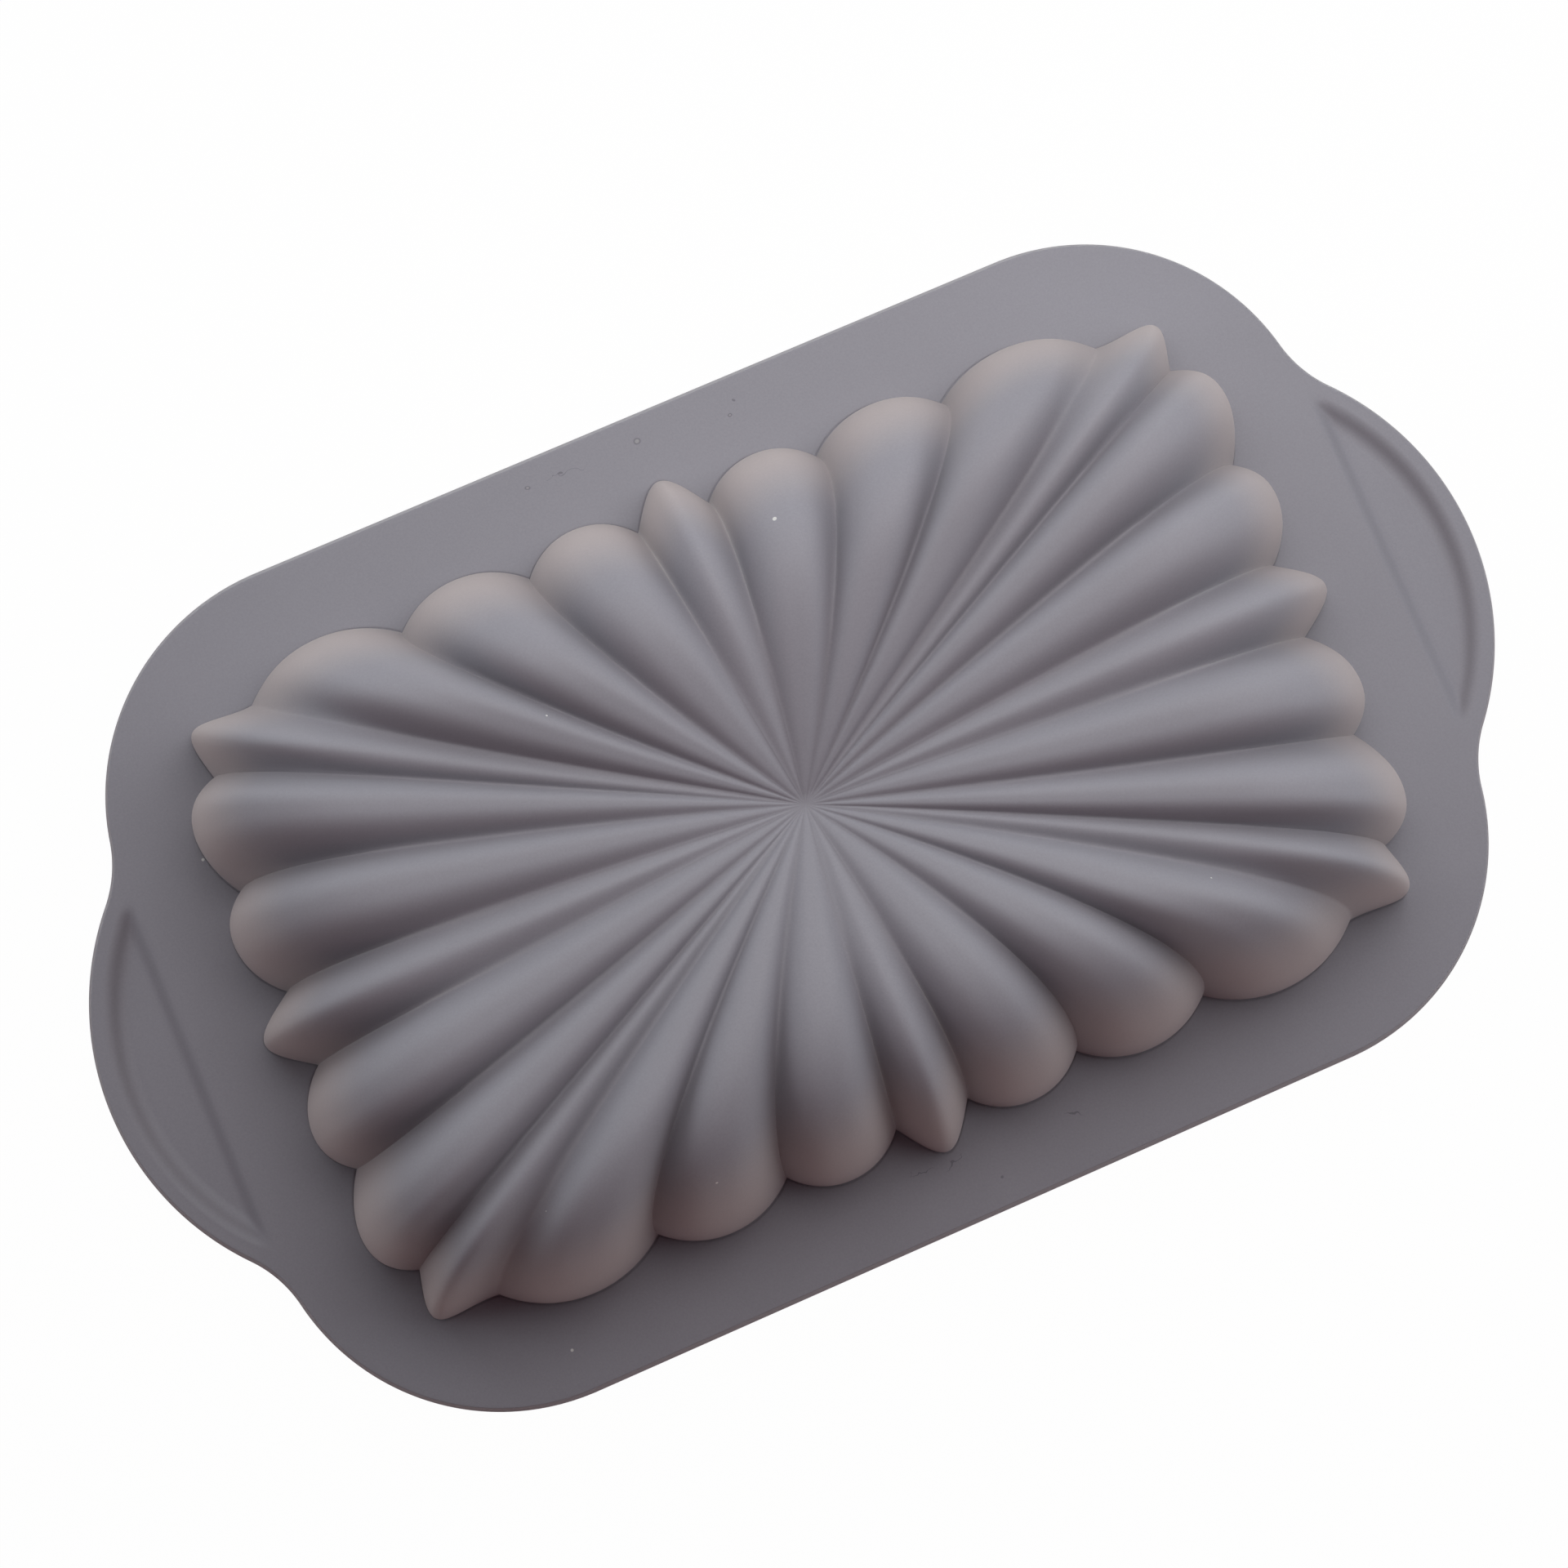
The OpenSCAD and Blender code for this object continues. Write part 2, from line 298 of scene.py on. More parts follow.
# Painted highlights in the bubble and two of the pits
HIGHLIGHT_MARKS = (
    (-0.4, 77.8, 0, 0.45, 0.4, 0.1),
    (17.9, 75.5, 0, 0.22, 0.16, 0.1),
    (-23.1, 77.7, 20, 0.3, 0.2, 0.1),
)


def smooth_step(x):
    """0 below 0, 1 above 1, and 3x^2 - 2x^3 between."""
    x = np.clip(x, 0, 1)
    return x * x * (3 - 2 * x)


def bell(distance, half_width):
    """A bell curve, exp(-(distance / half width)^2)."""
    return np.exp(-((distance / half_width) ** 2))


def round_the_well(quarter, mirrored=False):
    """One quarter's values repeated clockwise round the well, forwards and backwards in turn; points are
    mirrored into each quarter."""
    order = np.concatenate([np.arange(PER_QUARTER), np.arange(PER_QUARTER - 1, -1, -1)] * 2)
    values = np.asarray(quarter, float)[order]
    if mirrored:
        signs = np.repeat([[1, 1], [1, -1], [-1, -1], [-1, 1]], PER_QUARTER, axis=0)
        values = values * signs
    return values


VALLEYS = round_the_well(QUARTER_VALLEYS, mirrored=True)
OPENINGS = round_the_well(np.stack([np.sin(VALLEY_TURN), np.cos(VALLEY_TURN)], 1), mirrored=True)
BENDS = VALLEYS - OPENINGS * round_the_well(VALLEY_RUN)[:, None]


def tip_shape(w, soft):
    """A rounded tip, 1 at w = 0 and 0 at w = 1: a hyperbola's arm, rounder with a larger softness."""
    drop = (np.sqrt(w * w + soft * soft) - soft) / (np.sqrt(1 + soft * soft) - soft)
    return np.clip(1 - drop, 0, 1)


def arc_shape(w, half, out):
    """A circle's arc over a chord of 2 half, 1 at w = 0 and 0 at w = 1, for a bulge of height out."""
    radius = (half * half + out * out) / (2 * out)
    return (np.sqrt(radius**2 - (half * w) ** 2) - (radius - out)) / out


def well_columns():
    """All columns of the well, clockwise, as a dict of arrays: the flute, the place w across it from -1
    to 1, the foot (chord between two valleys plus an arc or a rounded tip), the direction outwards, the
    point to which the column heads before it bends to the centre, and how much fuller than the foot a
    pointed flute is over its tip (there it is a parabola)."""
    steps = np.where(KIND_POINTED[FLUTE_KIND], POINTED_COLUMNS, ROUND_COLUMNS)
    flute = np.repeat(np.arange(FLUTES), steps)
    first = np.cumsum(steps) - steps
    even = (np.arange(steps.sum()) - first[flute]) / steps[flute]
    after = (flute + 1) % FLUTES
    kind = FLUTE_KIND[flute]
    crowded = np.where(KIND_POINTED[kind], POINTED_CROWDING, ROUND_CROWDING)
    u = (1 - crowded) * even + crowded * (0.5 - 0.5 * np.cos(np.pi * even))
    w = 2 * (u - FLUTE_LEAN[flute] * u * (1 - u)) - 1
    chord = VALLEYS[after] - VALLEYS[flute]
    half = np.hypot(chord[:, 0], chord[:, 1]) / 2
    normal = np.stack([-chord[:, 1], chord[:, 0]], 1) / (2 * half)[:, None]
    shape = np.where(
        KIND_POINTED[kind], tip_shape(np.abs(w), TIP_ROUND) ** TIP_POWER, arc_shape(w, half, KIND_OUT[kind])
    )
    fuller = np.where(KIND_POINTED[kind], 1 - w * w - shape, 0)
    mix = u[:, None]
    foot = VALLEYS[flute] * (1 - mix) + VALLEYS[after] * mix + normal * (KIND_OUT[kind] * shape)[:, None]
    fuller = normal * (KIND_OUT[kind] * fuller)[:, None]
    out = OPENINGS[flute] * (1 - mix) + OPENINGS[after] * mix
    out /= np.hypot(out[:, 0], out[:, 1])[:, None]
    bend = BENDS[flute] * (1 - mix) + BENDS[after] * mix
    foot = foot - out * FOOT_INSET
    return {"flute": flute, "w": w, "half": half, "foot": foot, "out": out, "bend": bend, "fuller": fuller}


def back_height(columns, share):
    """Height of the flutes' backs over their valleys. A round back is 1 - |w|^2.9; a pointed one is a
    power of 1 - w^2, which has a soft ridge and hollow flanks. The way up from the valley is a
    hyperbola, which rounds the valley's bottom; beside the corner flutes that roundness grows and the
    valley is filled towards the foot."""
    flute = columns["flute"]
    kind = FLUTE_KIND[flute]
    valley = np.where(columns["w"] < 0, flute, (flute + 1) % FLUTES)
    start = round_the_well(VALLEY_ROUND_START)[valley][:, None]
    near_foot = smooth_step((share - start) / (1 - start))
    bottom = INNER_ROUND + (round_the_well(VALLEY_ROUND)[valley][:, None] - INNER_ROUND) * near_foot
    soft = bottom / (columns["half"][:, None] * np.maximum(share, LEAST_SHARE))
    away = 1 - np.abs(columns["w"])[:, None]
    eased = (np.sqrt(away**2 + soft**2) - soft) / (np.sqrt(1 + soft**2) - soft)
    ridge_power = RIDGE_POWER_IN + (RIDGE_POWER_FOOT - RIDGE_POWER_IN) * smooth_step(2 * share - 1)
    ridge_power = np.where((kind == CORNER_KIND)[:, None], CORNER_RIDGE_POWER, ridge_power)
    round_back = 1 - (1 - eased) ** BACK_POWER
    pointed_back = (1 - (1 - eased) ** 2) ** ridge_power
    back = np.where(KIND_POINTED[kind][:, None], pointed_back, round_back)
    fill = round_the_well(VALLEY_FILL)[valley][:, None] * near_foot * (1 - away**2) ** 2
    fall = smooth_step((share - TIP_FALL_START) / (1 - TIP_FALL_START))
    kept = 1 - np.where(KIND_POINTED[kind][:, None], TIP_FALL * fall, 0)
    return KIND_RIB[kind][:, None] * kept * back * share ** KIND_SINK[kind][:, None] + fill


def wall_share(d):
    """Share of the full height at distance d from the foot, a superellipse that is steep at the foot:
    (1 - (1 - d / run)^3)^(1 / 1.4)."""
    return (1 - np.clip(1 - d / SHOULDER_RUN, 0, 1) ** SHOULDER_POWER) ** (1 / FOOT_POWER)


def well_skin(columns, t, inset, base, lift):
    """Points (column, row, xyz) of the outer face, or with an inset of the inner face. In plan a column
    is a quadratic Bezier curve from its foot over its bend to the centre. The height is the top, which
    dips towards the centre, plus the back, times the wall's share."""
    foot = (columns["foot"] - columns["out"] * inset)[:, None]
    bend = (columns["bend"] - columns["out"] * inset)[:, None]
    t = np.asarray(t)[None, :, None]
    fuller = columns["fuller"][:, None] * smooth_step(t / TIP_FULL_T)
    plan = (foot + fuller) * (1 - t) ** 2 + bend * 2 * t * (1 - t)
    from_centre = np.hypot(plan[..., 0], plan[..., 1])
    share = np.clip(from_centre / np.hypot(foot[..., 0], foot[..., 1]), 0, 1)
    d = np.hypot(plan[..., 0] - foot[..., 0], plan[..., 1] - foot[..., 1])
    top = VALLEY_H - (VALLEY_H - CENTRE_H) * (1 - share) ** 2 - CONE_H * np.exp(-from_centre / CONE_RUN)
    top = top + back_height(columns, share)
    z = base + (top + lift) * wall_share(d)
    return np.concatenate([plan, z[..., None]], -1), d


def ring_at(points, z):
    """A ring of points (column, 1, xyz) at one height."""
    return np.concatenate([points, np.full((len(points), 1), z)], 1)[:, None]


def shell_mesh(name, grid, poles=()):
    """A mesh from a grid (column, row, xyz) in millimetres that closes round its columns. Poles are
    points that close the first and the last row; without them the rows close into a loop as well."""
    columns, rows = grid.shape[:2]
    points = grid.reshape(-1, 3)
    c = np.arange(columns)[:, None]
    c2 = (c + 1) % columns
    if len(poles):
        r = np.arange(rows - 1)[None, :]
        r2 = r + 1
    else:
        r = np.arange(rows)[None, :]
        r2 = (r + 1) % rows
    quads = np.stack([c * rows + r, c2 * rows + r, c2 * rows + r2, c * rows + r2], -1).reshape(-1, 4)
    loops = [quads.ravel()]
    sizes = [np.full(len(quads), 4)]
    if len(poles):
        points = np.concatenate([points, np.asarray(poles, float)])
        c = c.ravel()
        c2 = c2.ravel()
        start = np.full(columns, columns * rows)
        loops.append(np.stack([start, c2 * rows, c * rows], 1).ravel())
        loops.append(np.stack([start + 1, c * rows + rows - 1, c2 * rows + rows - 1], 1).ravel())
        sizes.append(np.full(2 * columns, 3))
    loops = np.concatenate(loops)
    sizes = np.concatenate(sizes)
    mesh = bpy.data.meshes.new(name)
    mesh.vertices.add(len(points))
    mesh.vertices.foreach_set("co", (points * MM).ravel())
    mesh.loops.add(len(loops))
    mesh.loops.foreach_set("vertex_index", loops)
    mesh.polygons.add(len(sizes))
    mesh.polygons.foreach_set("loop_start", np.cumsum(sizes) - sizes)
    mesh.update(calc_edges=True)
    return mesh


def put_in_scene(mesh, node_names, material):
    """Cleans a closed mesh, shades it smooth but for its sharp edges, and lets it stand for its nodes."""
    work = bmesh.new()
    work.from_mesh(mesh)
    bmesh.ops.remove_doubles(work, verts=work.verts, dist=SAME_PLACE)
    bmesh.ops.dissolve_degenerate(work, dist=SAME_PLACE, edges=work.edges)
    work.to_mesh(mesh)
    work.free()
    mesh.shade_smooth()
    mesh.set_sharp_from_angle(angle=math.radians(SHARP_DEGREES))
    mesh.materials.append(material)
    piece = bpy.data.objects.new(mesh.name, mesh)
    bpy.context.collection.objects.link(piece)
    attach(piece, "root")
    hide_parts(*node_names)


def add_mask(mesh, name, values):
    """Stores one number for each point of the mesh, for its material."""
    layer = mesh.attributes.new(name, "FLOAT", "POINT")
    layer.data.foreach_set("value", np.asarray(values, np.float32))


def add_well_masks(mesh, columns, outer, outer_d, shape):
    """The well's three masks, 0 but on its outer face: the shoulder, a painted warm bounce light, falls by a
    soft step with the distance from the foot, the valley, a painted shade, is a bell curve across each
    flute's edge, and the line, a pale line, is a narrow bell curve there, with each valley's share of it and
    a soft step towards the foot.
    The two poles get 0."""
    rows = outer.shape[1] - 2
    # Painted warm bounce light, full near the foot and fading inwards
    shoulder = np.zeros(shape)
    shoulder[:, :rows] = 1 - smooth_step((outer_d[:, :1:-1] - SHOULDER_START) / SHOULDER_FADE)
    shoulder[:, rows] = 1
    away = 1 - np.abs(columns["w"])
    # Painted shade across each flute's edge, in the valleys
    valley = np.zeros(shape)
    valley[:, :rows] = bell(away, VALLEY_SHADE_W)[:, None]
    foot = columns["foot"]
    share = np.hypot(outer[..., 0], outer[..., 1])[:, :1:-1] / np.hypot(foot[:, 0], foot[:, 1])[:, None]
    across = (away * columns["half"])[:, None] * share
    nearest = np.where(columns["w"] < 0, columns["flute"], (columns["flute"] + 1) % FLUTES)
    # Each valley's share of its pale line, growing towards the foot
    dust = round_the_well(VALLEY_PALE_LINE)[nearest][:, None] * smooth_step((share - LINE_START) / LINE_RUN)
    line = np.zeros(shape)
    line[:, :rows] = bell(across, LINE_W) * dust
    for name, mask in (("shoulder", shoulder), ("valley", valley), ("line", line)):
        add_mask(mesh, name, np.concatenate([mask.ravel(), [0, 0]]))


def make_well(columns, material):
    """The fluted well as one closed shell: the centre of its outer face, down the flutes, the crease at the
    rim, the seam, the underside, the mouth's round and up the inner face to its centre. The rows nearest
    to the foot are left out, where the rings take their place."""
    foot = columns["foot"]
    out = columns["out"]
    t_outer = (np.arange(OUTER_ROWS) / OUTER_ROWS) ** ROW_POWER
    t_inner = (np.arange(INNER_ROWS) / INNER_ROWS) ** ROW_POWER
    outer, outer_d = well_skin(columns, t_outer, 0.0, RIM_T, 0.0)
    inner, _ = well_skin(columns, t_inner, WALL_T, 0.0, RIM_T - WALL_T)
    seam = foot + out * CREASE_W
    mouth = foot - out * WALL_T
    rings = [
        outer[:, :1:-1],
        ring_at(foot, RIM_T),
        ring_at(foot, RIM_T - CREASE_D),
        ring_at(seam, RIM_T - CREASE_D),
        ring_at(seam, 0.0),
        ring_at(mouth + out * MOUTH_ROUND, 0.0),
        ring_at(mouth + out * MOUTH_MIDDLE * MOUTH_ROUND, MOUTH_MIDDLE * MOUTH_ROUND),
        ring_at(mouth, MOUTH_ROUND),
        inner[:, 3:],
    ]
    grid = np.concatenate(rings, 1)
    middle = RIM_T + CENTRE_H - CONE_H
    poles = [[0, 0, middle], [0, 0, middle - WALL_T]]
    mesh = shell_mesh("well", grid, poles)
    add_well_masks(mesh, columns, outer, outer_d, grid.shape[:2])
    put_in_scene(mesh, ["fluted_well"], material)


# Edge of the rim and of the grips
CORNER = np.array([RIM_L / 2 - RIM_R, RIM_W / 2 - RIM_R])
LOBE = np.array([RIM_L / 2 + GRIP_OUT - GRIP_R, 0.0])


def touching_centre(a, ra, b, rb):
    """The centre at distance ra from a and rb from b that lies to the left of the way from a to b."""
    gap = np.hypot(*(b - a))
    way = (b - a) / gap
    along = (ra * ra - rb * rb + gap * gap) / (2 * gap)
    across = math.sqrt(ra * ra - along * along)
    return a + way * along + np.array([-way[1], way[0]]) * across


NECK = touching_centre(CORNER, RIM_R + NECK_R, LOBE, GRIP_R + NECK_R)
CORNER_ANGLE = math.atan2(NECK[1] - CORNER[1], NECK[0] - CORNER[0])
LOBE_ANGLE = math.atan2(NECK[1] - LOBE[1], NECK[0] - LOBE[0])


def edge_profile():
    """The rim's edge from its top to its underside as (inset, height) rows: a quarter circle, a straight
    slope outwards and a second quarter circle back in."""
    top = np.linspace(0, math.pi / 2, EDGE_TOP_POINTS)
    low = np.linspace(0, math.pi / 2, EDGE_LOW_POINTS)
    upper = np.stack([EDGE_START - EDGE_TOP_R * np.sin(top), RIM_T - EDGE_TOP_R * (1 - np.cos(top))], 1)
    lower = np.stack([EDGE_LOW_R * (1 - np.cos(low)) - EDGE_OUT, EDGE_LOW_R * (1 - np.sin(low))], 1)
    return np.concatenate([upper, lower])


PROFILE = edge_profile()


def seam_start(inset):
    """Angle on the rim's corner arc, moved in by an inset, at which it meets the grip's seam: the arc cosine
    of the seam's distance from the arc's centre over its radius."""
    return np.arccos((SEAM_X - CORNER[0]) / (RIM_R - inset))


def corner_point(angle, inset):
    """A point of the rim's corner arc, moved in by an inset: the arc's centre plus radius (cos, sin)."""
    radius = RIM_R - inset
    return np.stack([CORNER[0] + radius * np.cos(angle), CORNER[1] + radius * np.sin(angle)], -1)


def rim_reach(start, way):
    """How far each ray from start along way runs to the rounded rectangle of the rim: the last point at
    which its signed distance is negative, found by halving."""
    half = np.array([RIM_L / 2 - RIM_R, RIM_W / 2 - RIM_R])
    low = np.zeros(len(start))
    high = np.full(len(start), WAY_MAX)
    for _ in range(HALVINGS):
        middle = (low + high) / 2
        p = np.abs(start + way * middle[:, None])
        outside = np.hypot(*np.maximum(p - half, 0).T) > RIM_R
        high = np.where(outside, middle, high)
        low = np.where(outside, low, middle)
    return low


def rim_normal(p):
    """Outward normal of the rim's rounded rectangle at a point of its edge: what of the point lies beyond
    the rectangle of the corners' centres, at length 1."""
    half = np.array([RIM_L / 2 - RIM_R, RIM_W / 2 - RIM_R])
    off = np.sign(p) * np.maximum(np.abs(p) - half, 0)
    return off / np.hypot(off[:, 0], off[:, 1])[:, None]


def make_rim(columns, material):
    """The flat rim as one closed ring. Each column runs from the well's seam out along the top, over the
    rounded edge and back below. At the two ends it stops at the grips' seams, where the cut is flat; two
    more columns are put in wherever the edge turns into such a cut or back."""
    seam = columns["foot"] + columns["out"] * CREASE_W
    way = columns["out"]
    edge = seam + way * rim_reach(seam, way)[:, None]
    normal = rim_normal(edge)
    to_cut = np.abs(edge + normal * EDGE_OUT)[:, 0] > SEAM_X
    inset, height = PROFILE.T
    sides = edge[:, None] - normal[:, None] * inset[None, :, None]
    seam_column = corner_point(seam_start(inset), inset)
    seam_stop = corner_point(seam_start(EDGE_START), EDGE_START)
    run = (SEAM_X - np.abs(seam[:, 0])) / np.maximum(np.abs(way[:, 0]), LEAST_X)
    cut = seam + way * run[:, None]
    cut = np.stack([cut[:, 0], np.clip(cut[:, 1], -seam_stop[1], seam_stop[1])], 1)
    cuts = np.repeat(cut[:, None], len(PROFILE), 1)
    outer = np.where(to_cut[:, None, None], cuts, sides)
    seam_stop = np.repeat(seam_stop[None], len(PROFILE), 0)
    before = np.roll(to_cut, 1)
    first_cut = np.flatnonzero(to_cut & ~before)
    first_side = np.flatnonzero(before & ~to_cut)
    into = np.sign(edge[first_cut])[:, None]
    back = np.sign(edge[first_side])[:, None]
    corner_in = np.stack([seam_column * into, seam_stop * into], 1)
    corner_back = np.stack([seam_stop * back, seam_column * back], 1)
    corner_places = np.repeat(np.concatenate([first_cut, first_side]), 2)
    corner_starts = np.repeat(np.concatenate([seam[first_cut - 1], seam[first_side]]), 2, axis=0)
    corner_edges = np.concatenate([corner_in, corner_back]).reshape(-1, len(PROFILE), 2)
    starts = np.insert(seam, corner_places, corner_starts, axis=0)
    edges = np.insert(outer, corner_places, corner_edges, axis=0)
    top_share = np.linspace(0, 1, RIM_TOP_ROWS + 1)[:-1][None, :, None]
    low_share = np.linspace(1, 0, RIM_LOW_ROWS + 1)[1:][None, :, None]
    ways = edges[:, :1] - starts[:, None]
    ways /= np.linalg.norm(ways, axis=-1, keepdims=True)
    crease = starts[:, None] + ways * CREASE_EDGE * CREASE_STEPS[None, :, :1]
    first = starts[:, None] + ways * CREASE_EDGE
    top = first * (1 - top_share) + edges[:, :1] * top_share
    low = starts[:, None] * (1 - low_share) + edges[:, -1:] * low_share
    plan = np.concatenate([crease, top, edges, low], 1)
    crease_z = RIM_T - CREASE_D * CREASE_STEPS[:, 1]
    z = np.concatenate([crease_z, np.full(top.shape[1], RIM_T), height, np.zeros(low.shape[1])])
    grid = np.concatenate([plan, np.broadcast_to(z[None, :, None], plan.shape[:2] + (1,))], -1)
    put_in_scene(shell_mesh("rim", grid), ["rim_flange"], material)


def recess_places(x, y):
    """Distances in from the recess's straight side and from its curved side, an arc parallel to the grip's
    edge, and a share that falls from 1 to 0 at the recess's two ends."""
    from_chord = x - (RIM_L / 2 + RECESS_IN)
    from_arc = (GRIP_R - RECESS_BORDER) - np.hypot(x - LOBE[0], y - LOBE[1])
    ends = smooth_step((RECESS_REACH - np.abs(y)) / RECESS_END_RUN)
    return from_chord, from_arc, ends


def recess_depth(x, y):
    """Depth of the finger recess: a soft step and a gentle slope from its straight side, plus a hollow that
    fades exponentially from its curved side, times a soft step in from that side."""
    from_chord, from_arc, ends = recess_places(x, y)
    floor_d = RECESS_STEP_D * smooth_step(from_chord / RECESS_STEP_RUN)
    floor_d = floor_d + RECESS_SLOPE_D * smooth_step(from_chord / RECESS_SLOPE_RUN)
    groove = GROOVE_D * np.exp(-np.maximum(from_arc, 0) / GROOVE_W) * smooth_step(from_chord / GROOVE_RUN)
    return (floor_d + groove) * smooth_step(from_arc / RECESS_WALL) * ends


def groove_shade_lines(x, y):
    """Mask of the recess's lines of painted shade: a bell curve beside its curved side and one at the foot
    of its straight side, whichever is larger."""
    from_chord, from_arc, ends = recess_places(x, y)
    curved = bell(from_arc - GROOVE_LINE_AT, GROOVE_LINE_W) * smooth_step(from_chord / RECESS_LINE_RUN)
    straight = bell(from_chord - STRAIGHT_LINE_AT, STRAIGHT_LINE_W) * smooth_step(from_arc / RECESS_LINE_RUN)
    return np.maximum(curved, straight * STRAIGHT_LINE_SHARE) * ends


def grip_edge_points(inset):
    """The grip's edge moved in by an inset: from the seam along the corner's arc, the neck's hollow arc and
    the lobe's arc, and back along the first two, mirrored in Y. The inset makes the corner's and the lobe's
    radius smaller and the neck's larger."""
    corner = corner_point(np.linspace(seam_start(inset), CORNER_ANGLE, CORNER_POINTS + 1)[:-1], inset)
    neck_angle = np.linspace(CORNER_ANGLE, LOBE_ANGLE, NECK_POINTS + 1)[:-1] + math.pi
    neck_r = NECK_R + inset
    neck = NECK + neck_r * np.stack([np.cos(neck_angle), np.sin(neck_angle)], 1)
    lobe_angle = np.linspace(LOBE_ANGLE, -LOBE_ANGLE, LOBE_POINTS)
    lobe = LOBE + (GRIP_R - inset) * np.stack([np.cos(lobe_angle), np.sin(lobe_angle)], 1)
    root = np.concatenate([corner, neck])
    return np.concatenate([root, lobe, root[::-1] * [1, -1]])


def make_grip(side, name, material):
    """A grip as one closed shell over its own columns, which run along X from the seam to the edge. Its
    top has the finger recess; top, edge and underside form a closed loop with the cut at the seam."""
    edges = np.stack([grip_edge_points(inset) for inset in PROFILE[:, 0]], 1)
    start_top = np.stack([np.full(len(edges), SEAM_X), edges[:, 0, 1]], 1)
    start_low = np.stack([np.full(len(edges), SEAM_X), edges[:, -1, 1]], 1)
    top_share = np.linspace(0, 1, GRIP_TOP_ROWS + 1)[:-1][None, :, None]
    low_share = np.linspace(1, 0, GRIP_LOW_ROWS + 1)[1:][None, :, None]
    top = start_top[:, None] * (1 - top_share) + edges[:, :1] * top_share
    low = start_low[:, None] * (1 - low_share) + edges[:, -1:] * low_share
    plan = np.concatenate([top, edges, low], 1)
    z_top = RIM_T - recess_depth(top[..., 0], top[..., 1])
    z_edge = np.broadcast_to(PROFILE[:, 1], (len(edges), len(PROFILE)))
    z_low = np.zeros(low.shape[:2])
    z = np.concatenate([z_top, z_edge, z_low], 1)
    grid = np.concatenate([plan, z[..., None]], -1)
    grid = grid * [side, 1, 1]
    if side < 0:
        grid = grid[::-1]
    mesh = open_shell_mesh(name, grid)
    # Lines of painted shade along the recess's curved and straight sides
    line = np.zeros(grid.shape[:2])
    top_rows = top.shape[1]
    line[:, :top_rows] = groove_shade_lines(np.abs(grid[:, :top_rows, 0]), grid[:, :top_rows, 1])
    add_mask(mesh, "valley", line.ravel())
    put_in_scene(mesh, [name], material)


def open_shell_mesh(name, grid):
    """A mesh from a grid whose rows close into a loop while its first and last column are single points
    or thin slivers, which are capped by one face each."""
    columns, rows = grid.shape[:2]
    c = np.arange(columns - 1)[:, None]
    r = np.arange(rows)[None, :]
    r2 = (r + 1) % rows
    quads = np.stack([c * rows + r, (c + 1) * rows + r, (c + 1) * rows + r2, c * rows + r2], -1)
    faces = quads.reshape(-1, 4).tolist()
    faces.append(list(range(rows)))
    faces.append(list(range(columns * rows - 1, (columns - 1) * rows - 1, -1)))
    mesh = bpy.data.meshes.new(name)
    mesh.from_pydata((grid.reshape(-1, 3) * MM).tolist(), [], faces)
    mesh.update()
    return mesh


def new_group(name, inputs, outputs):
    """A shader node group with named inputs and outputs; returns it with its input and output nodes."""
    group = bpy.data.node_groups.new(name, "ShaderNodeTree")
    for label, kind, value in inputs:
        socket = group.interface.new_socket(label, in_out="INPUT", socket_type=kind)
        if value is not None:
            socket.default_value = value
    for label, kind in outputs:
        group.interface.new_socket(label, in_out="OUTPUT", socket_type=kind)
    return group, group.nodes.new("NodeGroupInput"), group.nodes.new("NodeGroupOutput")


def math_node(nodes, links, operation, a, b=None, c=None):
    """A Math node; a, b and c are sockets or numbers."""
    node = nodes.new("ShaderNodeMath")
    node.operation = operation
    for index, value in enumerate((a, b, c)):
        if value is None:
            continue
        if isinstance(value, bpy.types.NodeSocket):
            links.new(value, node.inputs[index])
        else:
            node.inputs[index].default_value = value
    return node.outputs[0]


def colour_mix(nodes, links, factor, a, b):
    """A Mix node for colours; factor, a and b are sockets or values."""
    node = nodes.new("ShaderNodeMix")
    node.data_type = "RGBA"
    for socket, value in ((node.inputs[0], factor), (node.inputs[6], a), (node.inputs[7], b)):
        if isinstance(value, bpy.types.NodeSocket):
            links.new(value, socket)
        else:
            socket.default_value = value
    return node.outputs[2]


def noise(nodes, links, place, scale, detail, roughness=0.5):
    """A Noise texture at a place; returns its value, from 0 to 1 round 0.5."""
    node = nodes.new("ShaderNodeTexNoise")
    node.inputs["Scale"].default_value = scale
    node.inputs["Detail"].default_value = detail
    node.inputs["Roughness"].default_value = roughness
    links.new(place, node.inputs["Vector"])
    return node.outputs["Fac"]


def map_range(nodes, links, value, low, high):
    """A smooth step from 0 at low to 1 at high, or falling where low is above high."""
    node = nodes.new("ShaderNodeMapRange")
    node.interpolation_type = "SMOOTHSTEP"
    links.new(value, node.inputs["Value"])
    turned = low > high
    node.inputs["From Min"].default_value = min(low, high)
    node.inputs["From Max"].default_value = max(low, high)
    node.inputs["To Min"].default_value = 1.0 if turned else 0.0
    node.inputs["To Max"].default_value = 0.0 if turned else 1.0
    return node.outputs["Result"]


